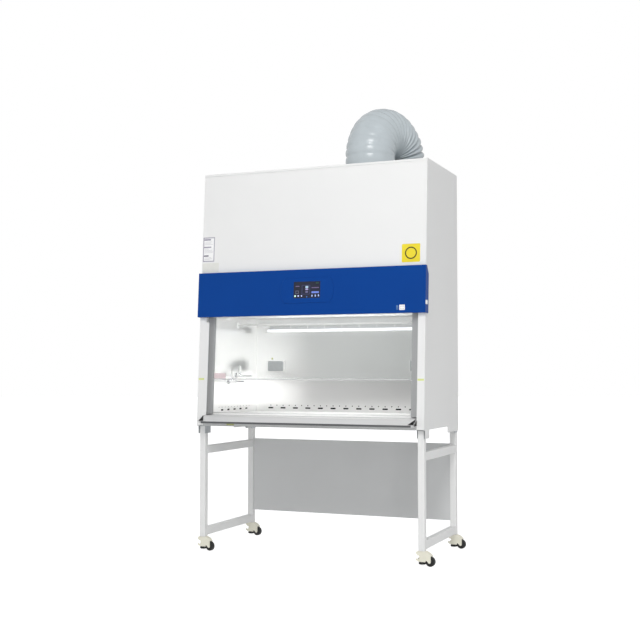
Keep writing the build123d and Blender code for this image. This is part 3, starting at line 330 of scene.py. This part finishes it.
fasten("data_card_rows", bm, pale_ink, "cabinet", leaning_front)
clear_film = surface("clear polyester film", "E6E6E0", 0.3, vary=0.03, vary_mm=25)
bm = bmesh.new()
label(bm, thin_film, -746, 1762, -630, 1822, corner=4)
fasten("corner_film", bm, clear_film, "cabinet", leaning_front)

lime_tape = surface("yellow green marking tape", "DDE596", 0.45, grain=0.1, grain_mm=4, vary=0.05, vary_mm=15)
bm = bmesh.new()
for side in (-1, 1):
    near, far = sorted((side * 707, side * 746))
    label(bm, film, near, 1074, far, 1086, corner=1)
fasten("sash_level_marks", bm, lime_tape, "cabinet", leaning_front)
olive_tag = surface("olive printed tag", "B5B878", 0.5, vary=0.2, vary_mm=10)
bm = bmesh.new()
slab(bm, (-537, -0.3, 792), (-485, 0.02, 805), corner=1.5)
fasten("fascia_tag", bm, olive_tag, "cabinet", cabinet)


# ---- Armrest, painted highlights and painted shade ----------------------------------
# The armrest is folded steel in powder coat, greyed as painted shade. A white bead
# along each of its two upper bends is a painted highlight. A dark grey strip along
# its nose is painted shade, and so is a thin black plate over each end of its slope.
armrest_painted_shade_coat = surface("armrest powder coat greyed as painted shade", "D6D6D6", 0.5, grain=0.12, grain_mm=2.5, vary=0.03)
dress(armrest_painted_shade_coat, "front_grille_armrest")
# White rods along the armrest's two upper bends: painted highlights.
bm = bmesh.new()
painted_highlight_radius, painted_highlight_length = 3.2, 1324
for y, z in ((2, 848.5), (54, 868)):
    rod(bm, painted_highlight_radius, painted_highlight_length, (0, y, z))
for face in bm.faces:
    face.smooth = len(face.verts) == 4
fasten("armrest_painted_highlights", bm, powder_coat, "cabinet", cabinet)
# Dark grey strip down the armrest's nose: painted shade.
nose_painted_shade = surface("dark grey painted shade on the nose", "5A5B5D", 0.6, grain=0.2, grain_mm=2, vary=0.05, vary_mm=60)
bm = bmesh.new()
slab(bm, (-688, -59.6, 804.5), (688, -58.2, 816))
ease(bm, 0, 0.6)
fasten("armrest_nose_painted_shade", bm, nose_painted_shade, "cabinet", cabinet)
# Black triangles over the ends of the slope: painted shade.
end_painted_shade = surface("black painted shade at the slope ends", "1A1A1B", 0.4, grain=0.15, grain_mm=1.5)
bm = bmesh.new()
for side in (-1, 1):
    corners = [bm.verts.new(Vector(place)) for place in
               ((side * 703.5, 2, 852), (side * 703.5, -59.5, 820.5), (side * 670, -59.5, 820.5))]
    bm.faces.new(corners)
bmesh.ops.solidify(bm, geom=bm.faces[:], thickness=0.8)
fasten("armrest_end_painted_shade", bm, end_painted_shade, "cabinet", cabinet)


# ---- Guides, glass sash and its trim ------------------------------------------------
# Anodised aluminium extrusions with a long drawn grain hold a 6 mm toughened pane, with
# a rose film stuck on it and a thin clear channel along its foot for a handle. White
# strips are clipped along the guides.
drawn = surface("satin anodised aluminium extrusion", "ACADAE", 0.45, metallic=0.3, grain=0.25, grain_mm=0.8,
                stretch=(1, 1, 0.02))
dress(drawn, "sash_guides", "sash_clamps", "drive_beam")
bm = bmesh.new()
for left, right in ((-707, -684), (704, 707)):
    label(bm, (-0.4, 1.5), left, 852, right, 1440)
ease(bm, 2, 0.6)
fasten("guide_cover_strips", bm, powder_coat, "cabinet", leaning_front)
clear_trim = surface("clear extruded polycarbonate", "E4E6E6", 0.3, grain=0.1, grain_mm=1.5)
clear_trim.node_tree.nodes["Principled BSDF"].inputs["Alpha"].default_value = 0.3
dress(clear_trim, "sash_trim")
clear_pane = bpy.data.materials.new("toughened float glass")
clear_pane.use_nodes = True
tree = clear_pane.node_tree
tree.nodes.clear()
shader = add(tree, "ShaderNodeBsdfPrincipled", Roughness=0.02, IOR=1.52, Alpha=0.05)
shader.inputs["Base Color"].default_value = linear("DCE8E4")
add(tree, "ShaderNodeOutputMaterial", Surface=shader.outputs[0])
dress(clear_pane, "sash_pane")
rose_film = surface("rose translucent film", "E6D5D7", 0.3, vary=0.05, vary_mm=20)
bm = bmesh.new()
label(bm, (34.7, 35.02), -655, 1084, -572, 1120, corner=3)
fasten("sash_film", bm, rose_film, "sash", leaning_front)


# ---- Chamber sheets ------------------------------------------------------------------
# Austenitic stainless steel: the liners satin with their grain along the sheet, the
# lift-out tray bead blasted and the rod polished, its near-white colour a painted
# highlight. The perforated ceiling sheet is painted and the filters above it are glass
# fibre; a black strip behind the slots is painted shade.
satin = surface("satin stainless steel", "E6E6E5", 0.28, metallic=1.0, grain=0.15, grain_mm=1.2,
                stretch=(0.03, 1, 1), vary=0.02, vary_mm=180)
dress(satin, "side_liners", "rear_liner")
blasted = surface("bead blasted stainless steel", "F8F8F7", 0.6, metallic=0.2, grain=0.2, grain_mm=1.5,
                  vary=0.015, vary_mm=120)
dress(blasted, "work_tray")
# Near-white, partly diffuse finish on the rod: a painted highlight.
rod_painted_highlight_steel = surface("polished stainless tube, whitened as painted highlight", "FBFBFA", 0.3, metallic=0.6, grain=0.1, grain_mm=1.0)
dress(rod_painted_highlight_steel, "hanging_rod")
dress(powder_coat, "air_diffuser")
# Black strips behind the slots: painted shade.
slot_shade_paint = surface("black painted shade behind the slots", "0A0A0A", 0.95, grain=0.5, grain_mm=2)
bm = bmesh.new()
slab(bm, (-650, 686, 866), (650, 692, 906))
for side in (-1, 1):
    near, far = sorted((side * 666, side * 672))
    slab(bm, (near, 130, 866), (far, 660, 906))
fasten("slot_painted_shade", bm, slot_shade_paint, "cabinet", cabinet)
media = surface("pleated glass fibre media", "F1F1EC", 0.9, grain=0.5, grain_mm=3)
dress(media, "hepa_filters")


# ---- Control panel ---------------------------------------------------------------------
# Steel housing in deep blue powder coat, with a smoked glass display in a raised
# surround of the same blue, lit from behind. A white catch and two prints are on it.
blue_coat = surface("deep blue powder coated steel", "054191", 0.4, grain=0.1, grain_mm=2.0,
                    vary=0.03, vary_mm=400)
blue_coat.node_tree.nodes["Principled BSDF"].inputs["Specular IOR Level"].default_value = 0.12
dress(blue_coat, "control_panel", "display_bezel")
screen_glass = surface("smoked display glass", "1B2038", 0.12, vary=0.25, vary_mm=60)
dress(screen_glass, "display_screen")
panel_face, bezel_height, glass_recess = -25, 3, 1
catch_plastic = surface("moulded white ABS", "F2F2F0", 0.4, grain=0.1, grain_mm=1.5, vary=0.01)
dress(catch_plastic, "panel_catch", "lamp_holders")
bm = bmesh.new()
label(bm, (panel_face - 0.3, panel_face + 0.02), 596, 1489, 630, 1520, corner=1)
fasten("panel_code_card", bm, white_vinyl, "control_panel", leaning_front)
bm = bmesh.new()
for x, z in ((602, 1494), (602, 1508), (616, 1494), (616, 1508)):
    label(bm, (panel_face - 0.36, panel_face - 0.28), x, z, x + 8, z + 7, corner=1)
fasten("panel_code_marks", bm, pale_ink, "control_panel", leaning_front)
sky_ink = surface("sky grey print ink", "5C7FAE", 0.5, vary=0.15, vary_mm=8)
bm = bmesh.new()
for low, high in ((1492, 1498), (1502, 1517)):
    label(bm, (panel_face - 0.12, panel_face + 0.02), 577, low, 589, high, corner=1)
fasten("panel_side_mark", bm, sky_ink, "control_panel", leaning_front)


def lit(name, color, strength):
    """Backlit print behind the display glass."""
    made = bpy.data.materials.new(name)
    made.use_nodes = True
    tree = made.node_tree
    tree.nodes.clear()
    shader = add(tree, "ShaderNodeBsdfPrincipled", Roughness=0.3, Emission_Strength=strength)
    shader.inputs["Base Color"].default_value = linear(color)
    shader.inputs["Emission Color"].default_value = linear(color)
    add(tree, "ShaderNodeOutputMaterial", Surface=shader.outputs[0])
    return made


screen_face, screen_middle = panel_face - bezel_height + glass_recess, up(1626)


def on_screen(name, material, *marks):
    """Marks on the display: each is left, right, lower and upper edge and a corner radius."""
    bm = bmesh.new()
    for left, right, low, high, corner in marks:
        slab(bm, (left, screen_face - 0.12, screen_middle + low),
             (right, screen_face + 0.02, screen_middle + high), corner)
    fasten(name, bm, material, "control_panel", leaning_front)


on_screen("key_power", lit("pale green backlight", "C9F2DC", 0.9), (-83, -73, -42, -32, 4.5))
on_screen("keys_left", lit("lavender backlight", "B7BEEA", 0.7), (-61, -52, -41.5, -32.5, 4),
          (-39, -31, -41, -33, 3.6))
on_screen("keys_right", lit("blue grey backlight", "93A6D6", 0.7), (31, 38.5, -44, -31, 3.6),
          (53, 60.5, -44, -31, 3.6), (74, 81.5, -43, -30, 3.6))
on_screen("key_middle", lit("dim blue backlight", "3F62A4", 0.5), (-4, 4, -47, -39, 3.6))
on_screen("readout_high", lit("pale blue backlight", "8FA8BC", 0.6), (-10, 9, 10, 24, 4))
on_screen("readout_middle", lit("violet backlight", "8C84AC", 0.55), (-10, 9, -2, 8, 3))
on_screen("readout_low", lit("slate backlight", "605E82", 0.5), (-9, 8, -18, -8, 2.5))
on_screen("dial_frame", lit("dark slate backlight", "343A62", 0.4), (-34, -31, -26, 29, 1),
          (18, 21, -26, 29, 1), (-31, 18, -28, -25, 0), (-31, 18, 27, 30, 0))
on_screen("gauge_bar", lit("blue backlight", "5F74BE", 0.6), (31, 80, -22, -11, 2))
on_screen("gauge_line", lit("plum backlight", "5A4E70", 0.45), (31, 80, 9, 15, 2), (-76, -50, 20, 26, 2))
on_screen("status_icon", lit("grey backlight", "4F5266", 0.4), (-76, -72, -24, -4, 1), (-58, -54, -24, -4, 1),
          (-72, -58, -24, -20, 0), (-72, -58, -8, -4, 0))
on_screen("signal_mark", lit("dark green backlight", "1E3A34", 0.35), (58, 78, 36, 46, 3))


# ---- Sash drive -------------------------------------------------------------------------
# Turned steel shaft and belt pulleys, black toothed belts and a worm gearmotor in grey
# enamel. The blower's wheel, behind them, is mill finish aluminium.
turned_steel = surface("turned steel", "A8A9AA", 0.3, metallic=1.0, grain=0.2, grain_mm=0.6,
                       stretch=(1, 0.05, 0.05))
dress(turned_steel, "drive_shaft", "right_idler_pulley", "left_idler_pulley")
belt_rubber = surface("black polyurethane belt", "16171A", 0.6, grain=0.4, grain_mm=2)
dress(belt_rubber, "drive_belts")
cast_paint = surface("grey enamelled casting", "565A5F", 0.45, grain=0.4, grain_mm=2.5)
dress(cast_paint, "drive_motor")
mill_finish = surface("mill finish aluminium", "B4B6B8", 0.35, metallic=1.0, grain=0.2, grain_mm=1.5)
dress(mill_finish, "blower_wheel")


# ---- Exhaust duct ---------------------------------------------------------------------------
# Grey coated cloth over a steel helix, stretched outside the bend and bunched inside
# it, with every second fold pinched deeper. A plain zinc coated spigot ends it.
duct_cloth = surface("grey PVC coated glass cloth", "BEC6CA", 0.24, grain=0.35, grain_mm=1.6,
                     vary=0.05, vary_mm=70)
dress(duct_cloth, "duct_clamps")
dress(galvanised, "duct_cuff")
duct_x, duct_y, bend_z, bend_radius = 224, 553, 2526, 188
folds_up, folds_round, folds_down, fold_height = 2, 17, 4, 61
crest_radius, valley_depth, deep_pinch, slight_pinch, side_stretch, late_slack = 164, 4.5, 30, 4, 7, 12
rings_per_fold, sides = 8, 96
bearing = math.radians(76.5)
heading = Vector((math.cos(bearing), math.sin(bearing), 0))
level = Vector((-heading.y, heading.x, 0))
bend_middle = Vector((duct_x, duct_y, bend_z)) + heading * bend_radius
irregular = random.Random(4)
sag = [irregular.uniform(-2.0, 1.0) for _ in range(folds_up + folds_round + folds_down + 1)]
bm = bmesh.new()
previous = None
for ring in range((folds_up + folds_round + folds_down) * rings_per_fold + 1):
    fold = ring / rings_per_fold
    turned = math.pi * min(max((fold - folds_up) / folds_round, 0), 1)
    along = min(fold - folds_up, 0) * fold_height + max(fold - folds_up - folds_round, 0) * fold_height
    valley = 1 - abs(math.sin(math.pi * fold)) ** 0.6
    place = (Matrix.Translation(bend_middle) @ Matrix.Rotation(turned, 4, level)
             @ Matrix.Translation(-heading * bend_radius) @ Matrix.Translation((0, 0, along)))
    loop = bmesh.ops.create_circle(bm, segments=sides, radius=crest_radius + sag[int(fold)] * (1 - valley),
                                   matrix=place)["verts"]
    centre = place.translation
    inward = (bend_middle - centre).normalized()
    pinch = min(1, math.sin(min(turned, math.pi / 2)) ** 0.5)
    bunch = deep_pinch if round(fold) % 2 else slight_pinch
    late = min(max(turned - 0.8, 0), 1)
    for v in loop:
        spoke = (v.co - centre).normalized()
        turn_side = spoke.dot(level)
        depth = (valley_depth + side_stretch * max(0, turn_side)
                 + pinch * bunch * max(0, spoke.dot(inward) + 0.2)
                 + late_slack * late * max(0, 0.4 - turn_side))
        v.co -= spoke * depth * valley
    edges = list(dict.fromkeys(e for v in loop for e in v.link_edges))
    if previous:
        bmesh.ops.bridge_loops(bm, edges=previous + edges)
    previous = edges
bmesh.ops.recalc_face_normals(bm, faces=bm.faces)
for face in bm.faces:
    face.smooth = True
bmesh.ops.solidify(bm, geom=bm.faces[:], thickness=1.2)
duct = fasten("corrugated_duct", bm, duct_cloth, "cabinet", cabinet)
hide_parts("exhaust_duct")


# ---- Stand and casters --------------------------------------------------------------------------
# Square tube welded into two side frames, in the same powder coat as the case. Each
# levelling caster has a cream nylon housing, a black wheel and a black rubber foot.
dress(powder_coat, "stand_legs", "stand_rails")
cream_nylon = surface("cream moulded nylon", "F1EEDD", 0.3, grain=0.12, grain_mm=1.5, vary=0.02, vary_mm=30)
black_nylon = surface("black moulded nylon", "121212", 0.35, grain=0.2, grain_mm=1.2)
black_rubber = surface("black rubber", "151515", 0.7, grain=0.5, grain_mm=1.0)
for corner in ("front_left", "rear_left", "front_right", "rear_right"):
    dress(cream_nylon, corner + "_caster_housing")
    dress(black_nylon, corner + "_caster_wheel")
    dress(black_rubber, corner + "_caster_foot")


# ---- Chamber fittings -----------------------------------------------------------------------------
# Chromed brass taps with white knobs, white socket plates under grey flip covers, and a
# lit glass tube clipped before its grey steel housing. The black appliance inlet is on
# the rear panel.
chrome = surface("chrome plated brass", "DDDEDF", 0.12, metallic=1.0, vary=0.02)
dress(chrome, "tap_bodies")
dress(catch_plastic, "front_tap_knob", "rear_tap_knob", "socket_plates")
smoke_cover = surface("grey translucent polycarbonate", "B4B6B8", 0.3, grain=0.1, grain_mm=2)
dress(smoke_cover, "right_socket_cover", "left_socket_cover")
tube_glass = surface("fluorescent tube glass, lit", "F6F7FA", 0.25, vary=0.01)
tube_shader = tube_glass.node_tree.nodes["Principled BSDF"]
tube_shader.inputs["Emission Color"].default_value = linear("F8F9FF")
tube_shader.inputs["Emission Strength"].default_value = 0.9
bm = bmesh.new()
tube_radius, tube_length = 8, 1120
rod(bm, tube_radius, tube_length, (0, 654, 1405), segments=32)
rims = [e for e in bm.edges if abs(e.verts[0].co.x - e.verts[1].co.x) < 1]
bmesh.ops.bevel(bm, geom=rims, offset=1.5, segments=3, profile=0.5, affect="EDGES", material=-1)
for face in bm.faces:
    face.smooth = len(face.verts) == 4
tube = fasten("slim_lamp_tube", bm, tube_glass, "cabinet", cabinet)
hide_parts("lamp_tube")
bm = bmesh.new()
slab(bm, (-556, 668, 1416), (556, 679.8, 1446))
ease(bm, 0, 2.5, segments=3)
lamp_housing = surface("grey powder coated lamp housing", "C8C9C9", 0.5, grain=0.12, grain_mm=2.5, vary=0.03)
fasten("lamp_reflector", bm, lamp_housing, "cabinet", cabinet)
tube_glow = bpy.data.lights.new("tube_light", "AREA")
tube_glow.shape = "RECTANGLE"
tube_glow.size, tube_glow.size_y, tube_glow.energy = 1.1, 0.03, 5
tube_light = bpy.data.objects.new("tube_light", tube_glow)
tube_light.location = cabinet @ Vector((0, 640, 1400))
tube_light.rotation_euler = (math.radians(-65), 0, 0)
tube_light.visible_camera = tube_light.visible_glossy = False
bpy.context.scene.collection.objects.link(tube_light)
outlet_black = surface("black socket insert", "1C1C1D", 0.5, grain=0.2, grain_mm=1.5)
bm = bmesh.new()
plate_x, outlet_offset, outlet_z, slot_front, slot_back = 510, 32.5, 1160, 672.6, 673.05
for outlet_x in [side * plate_x + offset for side in (-1, 1) for offset in (-outlet_offset, outlet_offset)]:
    for dx, dz, wide, tall in ((-7, 5, 3, 8), (7, 5, 3, 8), (0, -8, 4, 6)):
        x, z = outlet_x + dx, outlet_z + dz
        slab(bm, (x - wide / 2, slot_front, z - tall / 2), (x + wide / 2, slot_back, z + tall / 2),
             corner=0.8, steps=2)
fasten("socket_slots", bm, outlet_black, "cabinet", cabinet)
bm = bmesh.new()
slab(bm, (-548, 679.6, 1208), (-534, 680.02, 1222), corner=2)
fasten("socket_tag", bm, olive_tag, "cabinet", cabinet)
inlet_black = surface("black glass filled nylon", "17181A", 0.45, grain=0.3, grain_mm=1.5)
dress(inlet_black, "power_inlet")
